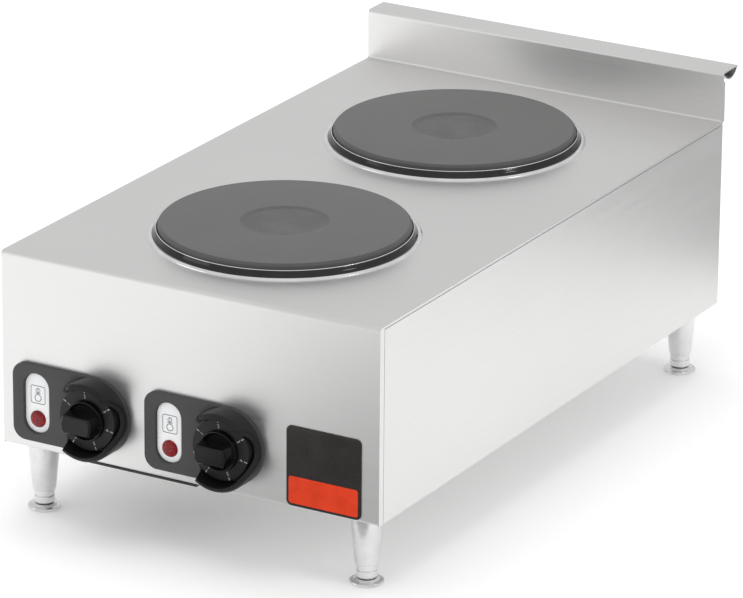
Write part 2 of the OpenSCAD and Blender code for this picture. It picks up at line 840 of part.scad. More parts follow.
// Compression gland with a hexagon collar outside the rear panel
module cable_gland() {
    collar_h = 6;
    cap_h = 16;
    color(black) at_gland() difference() {
        union() {
            hole(gland_thread_d, -sheet - 10, 1);
            cylinder(d = gland_thread_d + 9, h = collar_h, $fn = 6);
            translate([0, 0, collar_h - overlap])
                cylinder(d1 = gland_thread_d + 4, d2 = gland_thread_d - 1, h = cap_h);
        }
        hole(gland_bore_d, -sheet - 11, collar_h + cap_h + 1);
    }
}

module gland_nut() {
    color(black) at_gland() translate([0, 0, -sheet - 5]) hex_nut(gland_thread_d + 7, 5, gland_thread_d);
}

// Wiring, each wire in its own straight lengths

wire_d = 2.6;
wire_step = 4;                    // wires that cross run this far apart

// World place of a tab on the back of a switch
function tab_place(side, i) = [
    knob_x(side) + switch_tab(i)[0], y_front + sheet + switch_size[2] + 10, knob_z + switch_tab(i)[1]
];

module plate_wires(row, side) {
    z_end = z_deck - plate_drop - 0.8 - terminal_size[2] - 0.5;
    shelf = z_floor + 12;
    side_step = row == FRONT ? -30 : 30;
    y_end = plate_y(row) + terminal_y;
    color(wire_red) for (i = [0 : 3]) {
        start = tab_place(side, i);
        x_drop = start[0] + (i == 3 ? 6 : 0);
        x_end = terminal_wire_x(i);
        y_drop = start[1] + 4 + 3 * i;
        y_turn = y_front + shield_depth + 12 + 5 * i;
        z_run = shelf + wire_step * (row == FRONT ? 3 - i : i);
        wire(concat(
            [start, [start[0], y_drop, start[2]]],
            i == 3 ? [[x_drop, y_drop, start[2]]] : [],
            [
                [x_drop, y_drop, z_run], [x_drop, y_turn, z_run], [x_end + side_step, y_turn, z_run],
                [x_end + side_step, y_end, z_run], [x_end, y_end, z_run], [x_end, y_end, z_end]
            ]
        ), wire_d);
    }
}

module supply_wiring() {
    z_end = z_floor + 8;
    color([0.15, 0.15, 0.17]) for (side = SIDES) {
        start = tab_place(side, 4);
        y_drop = start[1] + 14;
        y_turn = start[1] + 62;
        y_end = block_y - block_size[1] / 2 - 0.5;
        x_run = block_x + block_way(side == LEFT ? 0 : 2);
        z_run = start[2] - (side == LEFT ? 10 : 10 - wire_step);
        wire([
            start, [start[0], y_drop, start[2]], [start[0], y_drop, z_run], [start[0], y_turn, z_run],
            [x_run, y_turn, z_run], [x_run, y_end - 12, z_run], [x_run, y_end - 12, z_end],
            [x_run, y_end, z_end]
        ], wire_d);
    }
}

deck_panel();
side_panel(LEFT);  // side_panel_left
side_panel(RIGHT);  // side_panel_right
rear_panel();
bottom_pan();
control_access_cover();
heat_shield();
leg_gussets();
leg_nuts();
leg(FRONT, LEFT);  // leg_front_left
leg(FRONT, RIGHT);  // leg_front_right
leg(REAR, LEFT);  // leg_rear_left
leg(REAR, RIGHT);  // leg_rear_right
foot_stem(FRONT, LEFT);  // foot_stem_front_left
foot_stem(FRONT, RIGHT);  // foot_stem_front_right
foot_stem(REAR, LEFT);  // foot_stem_rear_left
foot_stem(REAR, RIGHT);  // foot_stem_rear_right
foot_pad(FRONT, LEFT);  // foot_pad_front_left
foot_pad(FRONT, RIGHT);  // foot_pad_front_right
foot_pad(REAR, LEFT);  // foot_pad_rear_left
foot_pad(REAR, RIGHT);  // foot_pad_rear_right
hotplate(FRONT);  // hotplate_front
hotplate(REAR);  // hotplate_rear
heating_coils(FRONT);  // heating_coils_front
heating_coils(REAR);  // heating_coils_rear
trim_ring(FRONT);  // trim_ring_front
trim_ring(REAR);  // trim_ring_rear
hotplate_cover(FRONT);  // hotplate_cover_front
hotplate_cover(REAR);  // hotplate_cover_rear
clamp_bar(FRONT);  // clamp_bar_front
clamp_bar(REAR);  // clamp_bar_rear
hotplate_stud(FRONT);  // hotplate_stud_front
hotplate_stud(REAR);  // hotplate_stud_rear
clamp_nuts();
hotplate_terminals(FRONT);  // hotplate_terminals_front
hotplate_terminals(REAR);  // hotplate_terminals_rear
control_bezel(LEFT);  // control_bezel_left
control_bezel(RIGHT);  // control_bezel_right
label_plate(LEFT);  // label_plate_left
label_plate(RIGHT);  // label_plate_right
pilot_lens(LEFT);  // pilot_lens_left
pilot_lens(RIGHT);  // pilot_lens_right
pilot_body(LEFT);  // pilot_body_left
pilot_body(RIGHT);  // pilot_body_right
knob(LEFT);  // knob_left
knob(RIGHT);  // knob_right
switch_shaft(LEFT);  // switch_shaft_left
switch_shaft(RIGHT);  // switch_shaft_right
switch_body(LEFT);  // switch_body_left
switch_body(RIGHT);  // switch_body_right
switch_nuts();
terminal_block();
cable_gland();
gland_nut();
badge_plate();
badge_inlay();
panel_screws();
plate_wires(FRONT, LEFT);  // plate_wiring_front
plate_wires(REAR, RIGHT);  // plate_wiring_rear
supply_wiring();
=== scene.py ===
"""Looks of a two-plate electric hot plate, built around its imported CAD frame.

Lengths are in metres. The places of all pieces come from the frame: boxes of CAD nodes and joint axes.
Pieces on the apron are built in a local frame: x to the right, y up and z out of the steel.
"""
import json
import math

import bmesh
import bpy
from mathutils import Matrix, Vector


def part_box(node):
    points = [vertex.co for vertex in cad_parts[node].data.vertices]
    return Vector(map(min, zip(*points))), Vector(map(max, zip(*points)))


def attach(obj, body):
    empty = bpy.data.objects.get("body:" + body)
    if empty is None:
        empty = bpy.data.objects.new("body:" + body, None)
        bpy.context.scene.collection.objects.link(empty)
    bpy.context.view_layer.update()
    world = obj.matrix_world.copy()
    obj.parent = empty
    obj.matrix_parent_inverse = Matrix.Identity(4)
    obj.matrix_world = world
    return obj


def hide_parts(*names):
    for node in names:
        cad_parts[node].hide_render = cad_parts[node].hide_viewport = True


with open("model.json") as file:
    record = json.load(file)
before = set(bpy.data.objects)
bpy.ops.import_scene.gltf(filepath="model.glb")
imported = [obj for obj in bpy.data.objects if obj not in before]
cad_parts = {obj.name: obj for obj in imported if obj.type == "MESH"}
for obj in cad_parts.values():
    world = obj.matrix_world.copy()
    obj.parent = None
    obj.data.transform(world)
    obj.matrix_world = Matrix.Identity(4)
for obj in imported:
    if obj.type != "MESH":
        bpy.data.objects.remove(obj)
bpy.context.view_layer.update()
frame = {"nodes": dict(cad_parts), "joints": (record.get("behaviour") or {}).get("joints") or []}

MM = 0.001
# Keeps the round ends of a slot from meeting in a doubled point
HAIR = 0.01 * MM
SIDES = ("left", "right")
ROWS = ("front", "rear")
FEET = [f"{row}_{side}" for row in ROWS for side in SIDES]

# Places

APRON_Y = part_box("deck_panel")[0].y
KNOB_AXES = {j["name"]: Vector(j["pos_m"]) for j in frame["joints"] if j["name"].startswith("knob")}


def on_apron(x, z):
    """The local frame of a point on the apron's face."""
    basis = Matrix(((1, 0, 0), (0, 0, -1), (0, 1, 0))).to_4x4()
    return Matrix.Translation((x, APRON_Y, z)) @ basis


def knob_place(side):
    """The local frame of a control, with its origin on the knob's axis."""
    axis = KNOB_AXES[f"knob_{side}_turn"]
    return on_apron(axis.x, axis.z)


def middle(node):
    """The middle of a node's box."""
    low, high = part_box(node)
    return (low + high) / 2


def reach(node):
    """How far a node's box spreads sideways from its middle."""
    low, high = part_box(node)
    return (high.x - low.x) / 2


# Materials


class Surface:
    """A Principled material being built, with short calls for the nodes that the finishes share."""

    def __init__(self, name, **settings):
        self.material = bpy.data.materials.new(name)
        self.material.use_nodes = True
        self.tree = self.material.node_tree
        self.shader = self.tree.nodes["Principled BSDF"]
        for key, value in settings.items():
            self.shader.inputs[key.replace("_", " ").title().replace("Ior", "IOR")].default_value = value

    def node(self, kind, inputs=None, **settings):
        made = self.tree.nodes.new(kind)
        for key, value in settings.items():
            setattr(made, key, value)
        for key, value in (inputs or {}).items():
            if isinstance(value, bpy.types.NodeSocket):
                self.tree.links.new(value, made.inputs[key])
            else:
                made.inputs[key].default_value = value
        return made

    def place(self, scale=(1, 1, 1), origin=(0, 0, 0)):
        """Object coordinates, moved so that origin is zero and then stretched."""
        coordinates = self.node("ShaderNodeTexCoord").outputs["Object"]
        moved = self.node("ShaderNodeVectorMath", {0: coordinates, 1: origin}, operation="SUBTRACT")
        inputs = {0: moved.outputs[0], 1: scale}
        return self.node("ShaderNodeVectorMath", inputs, operation="MULTIPLY").outputs[0]

    def noise(self, vector, scale, detail=2.0, roughness=0.5):
        inputs = {"Vector": vector, "Scale": scale, "Detail": detail, "Roughness": roughness}
        return self.node("ShaderNodeTexNoise", inputs).outputs["Fac"]

    def span(self, value, low, high, start=0.3, end=0.7):
        """Value from start to end becomes low to high."""
        inputs = {"Value": value, "From Min": start, "From Max": end, "To Min": low, "To Max": high}
        return self.node("ShaderNodeMapRange", inputs).outputs["Result"]

    def mix(self, value, first, second):
        made = self.node("ShaderNodeMix", {"Factor": value}, data_type="RGBA")
        made.inputs[6].default_value = (*first, 1)
        made.inputs[7].default_value = (*second, 1)
        return made.outputs[2]

    def combine(self, first, second, operation="ADD"):
        return self.node("ShaderNodeMath", {0: first, 1: second}, operation=operation).outputs[0]

    def bump(self, height, strength, distance):
        inputs = {"Height": height, "Strength": strength, "Distance": distance}
        self.link("Normal", self.node("ShaderNodeBump", inputs).outputs["Normal"])

    def link(self, socket, value):
        self.tree.links.new(value, self.shader.inputs[socket])


SHEET_TONE = (0.80, 0.795, 0.79)
GRAIN_STRETCH = 0.012


def brushed_steel(name, along):
    """Stainless sheet with a fine grain along one axis, faint cloudy wear and a soft sheen."""
    s = Surface(name, metallic=1.0)
    stretch = [1.0, 1.0, 1.0]
    stretch[along] = GRAIN_STRETCH
    lines = s.place(stretch)
    fine = s.noise(lines, 2600, 3)
    coarse = s.noise(lines, 420, 2)
    cloud = s.noise(s.place(), 7, 3)
    streaks = s.combine(fine, coarse)
    dark = tuple(c * 0.955 for c in SHEET_TONE)
    s.link("Base Color", s.mix(s.span(s.combine(streaks, cloud), 0, 1, 1.1, 1.9), dark, SHEET_TONE))
    s.link("Roughness", s.span(streaks, 0.36, 0.42, 0.75, 1.25))
    s.bump(fine, 0.10, 0.04 * MM)
    return s.material


def turned_steel(name, rough, tone=(0.82, 0.82, 0.82)):
    """Steel turned on a lathe, with fine rings round the upright axis and light scuffs."""
    s = Surface(name, metallic=1.0)
    rings = s.noise(s.place((0.02, 0.02, 1)), 3000, 2)
    scuff = s.noise(s.place(), 60, 4, 0.6)
    dark = tuple(c * 0.86 for c in tone)
    s.link("Base Color", s.mix(s.span(scuff, 0, 1), dark, tone))
    s.link("Roughness", s.span(s.combine(rings, scuff), rough * 0.75, rough * 1.35, 0.8, 1.3))
    s.bump(rings, 0.08, 0.03 * MM)
    return s.material


def zinc_plate(name, tone=(0.52, 0.53, 0.52)):
    """Bright plating with a faint spangle and a little grime; another tone makes it brass."""
    s = Surface(name, metallic=1.0)
    spangle = s.noise(s.place(), 90, 3, 0.6)
    grime = s.noise(s.place(), 14, 4)
    dark = tuple(c * 0.7 for c in tone)
    s.link("Base Color", s.mix(s.span(s.combine(spangle, grime), 0, 1, 0.8, 1.3), dark, tone))
    s.link("Roughness", s.span(spangle, 0.34, 0.55))
    s.bump(spangle, 0.12, 0.1 * MM)
    return s.material


TOOL_MARK_PITCH = 1.1 * MM


def cast_iron(name, centre, recess, edge):
    """Ground plate top with fine circular tool marks and a dull baked coating.

    Its colour is painted darker in the hollow inside the recess radius and on the bevel outside the edge
    radius: painted shade for the recess and for the bevel's turned-away face.
    """
    s = Surface(name, specular_ior_level=0.55)
    flat = s.place((1, 1, 0), (centre.x, centre.y, 0))
    radius = s.node("ShaderNodeVectorMath", {0: flat}, operation="LENGTH").outputs["Value"]
    turns = s.combine(radius, 2 * math.pi / TOOL_MARK_PITCH, "MULTIPLY")
    marks = s.node("ShaderNodeMath", {0: turns}, operation="SINE").outputs[0]
    mottle = s.noise(s.place(), 28, 5, 0.6)
    grit = s.noise(s.place(), 1500, 2)
    tint = s.combine(mottle, s.span(marks, -0.05, 0.05, -1, 1))
    # Painted shade: the colour is darkened inside the recess and on the outer bevel, where the plate's
    # shape would shade it.
    hollow_painted_shade = s.span(radius, 0.45, 0, recess - 1.5 * MM, recess + 0.3 * MM)
    bevel_painted_shade = s.span(radius, 0, 1, edge - 0.4 * MM, edge + 0.4 * MM)
    tint = s.combine(tint, s.combine(hollow_painted_shade, bevel_painted_shade), "SUBTRACT")
    dark, light = (0.070, 0.071, 0.070), (0.108, 0.108, 0.106)
    s.link("Base Color", s.mix(s.span(tint, 0, 1), dark, light))
    s.link("Roughness", s.span(s.combine(grit, mottle), 0.34, 0.50, 0.8, 1.2))
    s.bump(s.combine(s.span(marks, 0, 1, -1, 1), grit), 0.16, 0.06 * MM)
    return s.material


def moulded(name, tone, rough, texture=900, depth=0.15, **settings):
    """Moulded plastic: an even spark texture, and a slight change of tone where it is handled."""
    s = Surface(name, **settings)
    spark = s.noise(s.place(), texture, 2)
    wear = s.noise(s.place(), 45, 4, 0.6)
    light = tuple(min(1.0, c * 1.25 + 0.004) for c in tone)
    s.link("Base Color", s.mix(s.span(wear, 0, 1), tone, light))
    s.link("Roughness", s.span(s.combine(spark, wear), rough * 0.85, rough * 1.15, 0.8, 1.2))
    s.bump(spark, depth, 0.08 * MM)
    return s.material


def red_lens(name):
    """Red moulding with small facets behind its smooth face."""
    s = Surface(name, roughness=0.12, ior=1.49, specular_ior_level=0.3)
    s.shader.inputs["Coat Weight"].default_value = 0.2
    s.shader.inputs["Coat Roughness"].default_value = 0.04
    facets = s.node("ShaderNodeTexVoronoi", {"Vector": s.place(), "Scale": 620.0}, feature="F1")
    shade = s.noise(s.place(), 140, 3)
    depth = s.combine(facets.outputs["Distance"], shade)
    bright, deep = (0.42, 0.010, 0.014), (0.15, 0.004, 0.008)
    s.link("Base Color", s.mix(s.span(depth, 0, 1, 0.5, 1.2), bright, deep))
    s.bump(facets.outputs["Distance"], 0.35, 0.4 * MM)
    return s.material


def braided(name, tone):
    """Glass-fibre sleeve over a wire."""
    s = Surface(name)
    weave = s.node("ShaderNodeTexVoronoi", {"Vector": s.place(), "Scale": 1100.0}).outputs["Distance"]
    dark = tuple(c * 0.55 for c in tone)
    s.link("Base Color", s.mix(s.span(weave, 0, 1, 0.1, 0.8), tone, dark))
    s.link("Roughness", s.span(weave, 0.55, 0.8, 0, 1))
    s.bump(weave, 0.4, 0.2 * MM)
    return s.material


STEEL_ACROSS = brushed_steel("stainless_across", 0)
STEEL_ALONG = brushed_steel("stainless_along", 1)
LEG_STEEL = turned_steel("leg_steel", 0.22)
RING_STEEL = turned_steel("ring_steel", 0.16, (0.86, 0.86, 0.87))
# Painted reflection: the polished ring wall gets a near-black steel tone that stands for the dark
# surroundings it mirrors.
RING_WALL_SHADE = turned_steel("ring_wall_shade", 0.09, (0.05, 0.05, 0.052))
ZINC = zinc_plate("zinc")
BRASS = zinc_plate("brass", (0.62, 0.44, 0.16))
SCREW_STEEL = turned_steel("screw_steel", 0.25)
# Painted shade: the access cover's black stands for the dark line of shade under the apron between the
# bezels.
COVER_SHADE_BLACK = moulded("cover_painted_shade", (0.022, 0.022, 0.023), 0.42, 500)
BEZEL_FLAT = moulded("bezel_matte", (0.046, 0.046, 0.048), 0.60, 1400, 0.3)
DIAL_BLACK = moulded("dial_matte", (0.015, 0.015, 0.016), 0.45, 900, 0.1, specular_ior_level=0.26)
# Painted shade: the guard is part of the bezel's moulding, but its tone is far darker than the bezel
# plate's, standing for the shade on its walls.
GUARD_SHADE_DARK = moulded("guard_satin_painted_shade", (0.008, 0.008, 0.0085), 0.38, 700, 0.08, specular_ior_level=0.25)
KNOB_BLACK = moulded("knob_satin", (0.003, 0.003, 0.0035), 0.22, 700, 0.06, specular_ior_level=0.3)
DARK_PLASTIC = moulded("dark_plastic", (0.03, 0.03, 0.031), 0.45)
CERAMIC = moulded("ceramic", (0.72, 0.68, 0.58), 0.7, 500, 0.2)
LABEL_WHITE = moulded("label_white", (0.90, 0.92, 0.94), 0.33, 300, 0.03)
INK = moulded("ink", (0.03, 0.03, 0.035), 0.5)
MARK_WHITE = moulded("mark_white", (0.42, 0.42, 0.42), 0.5)
BADGE_BLACK = moulded("badge_black", (0.020, 0.018, 0.017), 0.3, 300, 0.04, specular_ior_level=0.25)
BADGE_ORANGE = moulded("badge_orange", (0.66, 0.040, 0.006), 0.3, 300, 0.04, specular_ior_level=0.2)
LENS_RED = red_lens("lens_red")
WIRE_RED = braided("wire_red", (0.40, 0.05, 0.035))
WIRE_BLACK = braided("wire_black", (0.03, 0.03, 0.035))

# Mesh helpers


def finish_piece(name, mesh, place, material, body, stands_for=(), crease=35):
    """Puts a mesh in place as a smooth-shaded piece that rides on a body."""
    mesh.transform(place)
    work = bmesh.new()
    work.from_mesh(mesh)
    bmesh.ops.remove_doubles(work, verts=work.verts, dist=1e-7)
    bmesh.ops.recalc_face_normals(work, faces=work.faces)
    work.to_mesh(mesh)
    work.free()
    mesh.shade_smooth()
    mesh.set_sharp_from_angle(angle=math.radians(crease))
    mesh.materials.clear()
    mesh.materials.append(material)
    piece = bpy.data.objects.new(name, mesh)
    bpy.context.scene.collection.objects.link(piece)
    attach(piece, body)
    if stands_for:
        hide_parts(*stands_for)
    return piece


def loft(rings, closed=False, caps=True):
    """A mesh through rings of points. Each ring is a loop with the same number of points."""
    mesh = bpy.data.meshes.new("loft")
    count, size = len(rings), len(rings[0])
    points = [p for ring in rings for p in ring]
    faces = []
    for i in range(count if closed else count - 1):
        k = (i + 1) % count
        for j in range(size):
            n = (j + 1) % size
            faces.append((i * size + j, i * size + n, k * size + n, k * size + j))
    if caps and not closed:
        faces.append(tuple(reversed(range(size))))
        faces.append(tuple((count - 1) * size + j for j in range(size)))
    mesh.from_pydata(points, [], faces)
    return mesh


def filleted(corners, closed=False, steps=5):
    """A line through (x, y, radius) corners, each rounded by its radius."""
    line = []
    for i, (x, y, radius) in enumerate(corners):
        here = Vector((x, y))
        if radius <= 0 or (not closed and i in (0, len(corners) - 1)):
            line.append((x, y))
            continue
        before = (Vector(corners[i - 1][:2]) - here).normalized()
        after = (Vector(corners[(i + 1) % len(corners)][:2]) - here).normalized()
        half = before.angle(after) / 2
        centre = here + (before + after).normalized() * (radius / math.sin(half))
        start = here + before * (radius / math.tan(half)) - centre
        end = here + after * (radius / math.tan(half)) - centre
        turn = start.angle_signed(end)
        for k in range(steps + 1):
            angle = -turn * k / steps
            line.append(tuple(centre + Matrix.Rotation(angle, 2) @ start))
    return line


def lathe(corners, turns=96, steps=5):
    """A solid of revolution about z. Its section is a filleted line of (radius, height, fillet)."""
    line = filleted(corners, steps=steps)
    rings = []
    for i in range(turns):
        angle = 2 * math.pi * i / turns
        rings.append([(r * math.cos(angle), r * math.sin(angle), h) for r, h in line])
    mesh = bpy.data.meshes.new("lathe")
    size = len(line)
    faces = []
    for i in range(turns):
        k = (i + 1) % turns
        here, there = i * size, k * size
        faces += [(here + j, there + j, there + j + 1, here + j + 1) for j in range(size - 1)]
    mesh.from_pydata([p for ring in rings for p in ring], [], faces)
    return mesh


def plate_mesh(outlines, low, high, edge):
    """A flat plate from closed outlines, the later ones being holes, with its edges rounded."""
    curve = bpy.data.curves.new("outline", "CURVE")
    curve.dimensions = "2D"
    curve.fill_mode = "BOTH"
    curve.extrude = (high - low) / 2 - edge
    curve.bevel_depth = edge
    curve.bevel_resolution = 3
    curve.offset = -edge
    for outline in outlines:
        spline = curve.splines.new("POLY")
        spline.points.add(len(outline) - 1)
        for point, (x, y) in zip(spline.points, outline):
            point.co = (x, y, 0, 1)
        spline.use_cyclic_u = True
    holder = bpy.data.objects.new("outline", curve)
    mesh = bpy.data.meshes.new_from_object(holder)
    mesh.transform(Matrix.Translation((0, 0, (low + high) / 2)))
    bpy.data.objects.remove(holder)
    bpy.data.curves.remove(curve)
    return mesh


def circle(radius, centre=(0, 0), points=64):
    """A closed outline of points round a centre."""
    angles = [2 * math.pi * i / points for i in range(points)]
    return [(centre[0] + radius * math.cos(a), centre[1] + radius * math.sin(a)) for a in angles]


def rounded_box(width, height, radius, centre=(0, 0), steps=10):
    """The closed outline of a rectangle with round corners."""
    signs = ((-1, -1), (1, -1), (1, 1), (-1, 1))
    corners = [(centre[0] + sx * width / 2, centre[1] + sy * height / 2, radius) for sx, sy in signs]
    return filleted(corners, closed=True, steps=steps)


def ribbon(line, width, low, high, closed=False):
    """A flat printed line of an even width."""
    points = [Vector(p) for p in line]
    count = len(points)
    left, right = [], []
    for i, p in enumerate(points):
        before = points[i - 1] if closed or i else p
        after = points[(i + 1) % count] if closed or i < count - 1 else p
        along = (after - before).normalized()
        across = Vector((-along.y, along.x)) * width / 2
        left.append(p + across)
        right.append(p - across)
    rings = [[(*a, low), (*b, low), (*b, high), (*a, high)] for a, b in zip(left, right)]
    return loft(rings, closed=closed)


def join_meshes(meshes):
    """One mesh from several, which are removed."""
    work = bmesh.new()
    for mesh in meshes:
        work.from_mesh(mesh)
        bpy.data.meshes.remove(mesh)
    made = bpy.data.meshes.new("joined")
    work.to_mesh(made)
    work.free()
    return made


def smooth_step(value):
    """Zero to one with a level start and end."""
    value = min(1.0, max(0.0, value))
    return value * value * (3 - 2 * value)


# Hot plates and trim rings

BEVEL_W = 2.6 * MM
BEVEL_H = 2.0 * MM
RECESS_R = 39 * MM
RECESS_DEPTH = 1.0 * MM
SKIRT_GAP = 3.2 * MM
SKIRT_STEP = 3 * MM
RING_CLEARANCE = 0.3 * MM
RING_H = 6.9 * MM
LIP_R = 0.45 * MM


def build_plate(row):
    """A cast plate with a bevelled edge and a shallow hollow in its middle."""
    node = f"hotplate_{row}"
    low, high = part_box(node)
    centre = middle(node)
    radius = reach(node)
    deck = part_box(f"trim_ring_{row}")[0].z
    skirt = deck + SKIRT_GAP
    profile = [
        (0, high.z - RECESS_DEPTH, 0),
        (RECESS_R - 5 * MM, high.z - RECESS_DEPTH, 9 * MM),
        (RECESS_R + 0.5 * MM, high.z, 2.5 * MM),
        (radius - BEVEL_W, high.z, 1.6 * MM),
        (radius - 0.6 * MM, high.z - BEVEL_H, 0.9 * MM),
        (radius, skirt, 0.2 * MM),
        (radius - SKIRT_STEP, skirt, 0.2 * MM),
        (radius - SKIRT_STEP, low.z, 0.4 * MM),
        (0, low.z, 0),
    ]
    place = Matrix.Translation((centre.x, centre.y, 0))
    material = cast_iron(f"cast_iron_{row}", centre, RECESS_R, radius - BEVEL_W)
    mesh = lathe(profile, 160)
    finish_piece(f"plate_{row}", mesh, place, material, "cabinet", [node])


def build_ring(row):
    """The rim round a plate: a polished wall painted near-black as painted reflection of dark
    surroundings, a bright lip on it and a bead on the deck.
    """
    node = f"trim_ring_{row}"
    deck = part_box(node)[0].z
    centre = middle(node)
    outer = reach(node)
    inner = reach(f"hotplate_{row}") + RING_CLEARANCE
    place = Matrix.Translation((centre.x, centre.y, 0))
    wall = [
        (inner + 0.2 * MM, deck + 1.2 * MM, 0), (inner, deck + 6.6 * MM, 0.5 * MM),
        (inner + 1.2 * MM, deck + RING_H, 0.6 * MM), (inner + 2.6 * MM, deck + 3.6 * MM, 4.0 * MM),
        (inner + 4.6 * MM, deck + 1.3 * MM, 0.5 * MM), (inner + 4.2 * MM, deck + 0.6 * MM, 0),
        (inner + 0.2 * MM, deck + 1.2 * MM, 0),
    ]
    mesh = lathe(wall, 192, 7)
    finish_piece(f"ring_{row}_wall", mesh, place, RING_WALL_SHADE, "cabinet", [node], 50)
    bead = [
        (inner + 3.4 * MM, deck, 0), (inner + 3.4 * MM, deck + 1.2 * MM, 0.2 * MM),
        (inner + 4.4 * MM, deck + 1.9 * MM, 0.7 * MM), (inner + 6.2 * MM, deck + 2.0 * MM, 1.0 * MM),
        (outer - 0.3 * MM, deck + 0.7 * MM, 0.6 * MM), (outer, deck, 0), (inner + 3.4 * MM, deck, 0),
    ]
    lip = circle(LIP_R, (inner + 0.7 * MM, deck + RING_H), 10)
    lip = [(r, h, 0) for r, h in lip + lip[:1]]
    mesh = join_meshes([lathe(bead, 192, 7), lathe(lip, 192)])
    finish_piece(f"ring_{row}_bead", mesh, place, RING_STEEL, "cabinet", [node], 50)


for row in ROWS:
    build_plate(row)
    build_ring(row)

# Bezels, measured in the frame of their knob

PLATE_T = 4.5 * MM
GUARD_R = 35.2 * MM
GUARD_IN = 30.5 * MM
GUARD_TOP = 25.5 * MM
BEZEL_CORNER = 12 * MM
GUARD_STEPS = 150
SHAFT_HOLE_R = 7 * MM
SLOT_CLEARANCE = 0.6 * MM
DIP_LOW = 9.5 * MM
SHOULDER = 4.4 * MM
INNER_EDGE = 0.9 * MM
SUNK = 0.5 * MM
# Angles round the knob in degrees, from its right and anticlockwise
DIP_MIDDLE = 10
DIP_HALF = 44
LOBE_START = 150
LOBE_FULL = 108
TAIL_FULL = -124
TAIL_END = -141
# How late the tail and the dip bend
TAIL_BEND = 1.8
DIP_BEND = 1.5


def guard_height(angle):
    """Height of the guard's rim at an angle: a tall lobe above, a dip at the right and a tail below."""
    rise = GUARD_TOP - PLATE_T
    if angle > LOBE_FULL:
        return PLATE_T + rise * smooth_step((LOBE_START - angle) / (LOBE_START - LOBE_FULL))
    if angle < TAIL_FULL:
        left = (angle - TAIL_END) / (TAIL_FULL - TAIL_END)
        return PLATE_T + rise * max(0.0, left) ** TAIL_BEND
    away = abs(angle - DIP_MIDDLE) / DIP_HALF
    if away < 1:
        return GUARD_TOP - (GUARD_TOP - DIP_LOW) * (1 - smooth_step(away ** DIP_BEND))
    return GUARD_TOP


def guard_section(angle):
    """Section of the guard at one angle: straight inside, a broad soft shoulder outside."""
    top = guard_height(angle)
    above = max(0.02 * MM, top - PLATE_T)
    soft = min(SHOULDER, above * 0.8)
    small = min(INNER_EDGE, above * 0.3)
    line = [(GUARD_IN, PLATE_T - SUNK)]
    for k in range(5):
        turn = math.pi / 2 * k / 4
        line.append((GUARD_IN + small * (1 - math.cos(turn)), top - small * (1 - math.sin(turn))))
    for k in range(9):
        turn = math.pi / 2 * k / 8
        r = GUARD_R - soft * (1 - math.sin(turn))
        line.append((max(r, GUARD_IN + small), top - soft * (1 - math.cos(turn))))
    line.append((GUARD_R, PLATE_T + above * 0.25))
    line.append((GUARD_R - 0.1 * MM, PLATE_T - SUNK))
    c, s = math.cos(math.radians(angle)), math.sin(math.radians(angle))
    return [(r * c, r * s, h) for r, h in line]


def build_bezel(side):
    """A flat plate with a slot for the label, and the raised guard round its knob."""
    node = f"control_bezel_{side}"
    place = knob_place(side)
    axis = KNOB_AXES[f"knob_{side}_turn"]
    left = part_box(node)[0].x - axis.x
    label = middle(f"label_plate_{side}")
    label_low, label_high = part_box(f"label_plate_{side}")
    slot_w = label_high.x - label_low.x + SLOT_CLEARANCE
    slot_h = label_high.z - label_low.z + SLOT_CLEARANCE
    turns = [math.pi / 2 - math.pi * i / 40 for i in range(41)]
    arc = [(GUARD_R * math.cos(a), GUARD_R * math.sin(a)) for a in turns]
    corners = [
        (0, -GUARD_R, 0), (left, -GUARD_R, BEZEL_CORNER),
        (left, GUARD_R, BEZEL_CORNER), (0, GUARD_R, 0),
    ]
    outline = arc + filleted(corners, steps=10)[1:-1]
    spot = (label.x - axis.x, label.z - axis.z)
    window = rounded_box(slot_w, slot_h, slot_w / 2 - HAIR, spot, 14)
    mesh = plate_mesh([outline, window, circle(SHAFT_HOLE_R)], 0, PLATE_T, 0.7 * MM)
    finish_piece(f"bezel_{side}", mesh, place, BEZEL_FLAT, "cabinet", [node])
    spread = LOBE_START - TAIL_END
    angles = [TAIL_END + spread * i / GUARD_STEPS for i in range(GUARD_STEPS + 1)]
    mesh = loft([guard_section(a) for a in angles])
    # The guard's darker material is painted shade on the same plastic as the bezel plate.
    finish_piece(f"guard_{side}", mesh, place, GUARD_SHADE_DARK, "cabinet", [node], 50)


# Labels and lamps

PRINT_T = 0.06 * MM
THIN_LINE = 0.5 * MM
ICON_Y = 7.4 * MM
ICON_W = 14.2 * MM
ICON_H = 16.0 * MM


def build_label(side):
    """The white strip with its printed sign and its lamp."""
    node = f"label_plate_{side}"
    centre = middle(node)
    low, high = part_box(node)
    place = on_apron(centre.x, centre.z)
    width, height = high.x - low.x, high.z - low.z
    floor, face = APRON_Y - high.y, APRON_Y - low.y
    outline = rounded_box(width, height, width / 2 - HAIR, steps=14)
    mesh = plate_mesh([outline], floor, face, 0.12 * MM)
    finish_piece(f"label_{side}", mesh, place, LABEL_WHITE, "cabinet", [node])
    finish_piece(f"icon_{side}", icon_mesh(face), place, INK, "cabinet")
    build_lens(side, face)


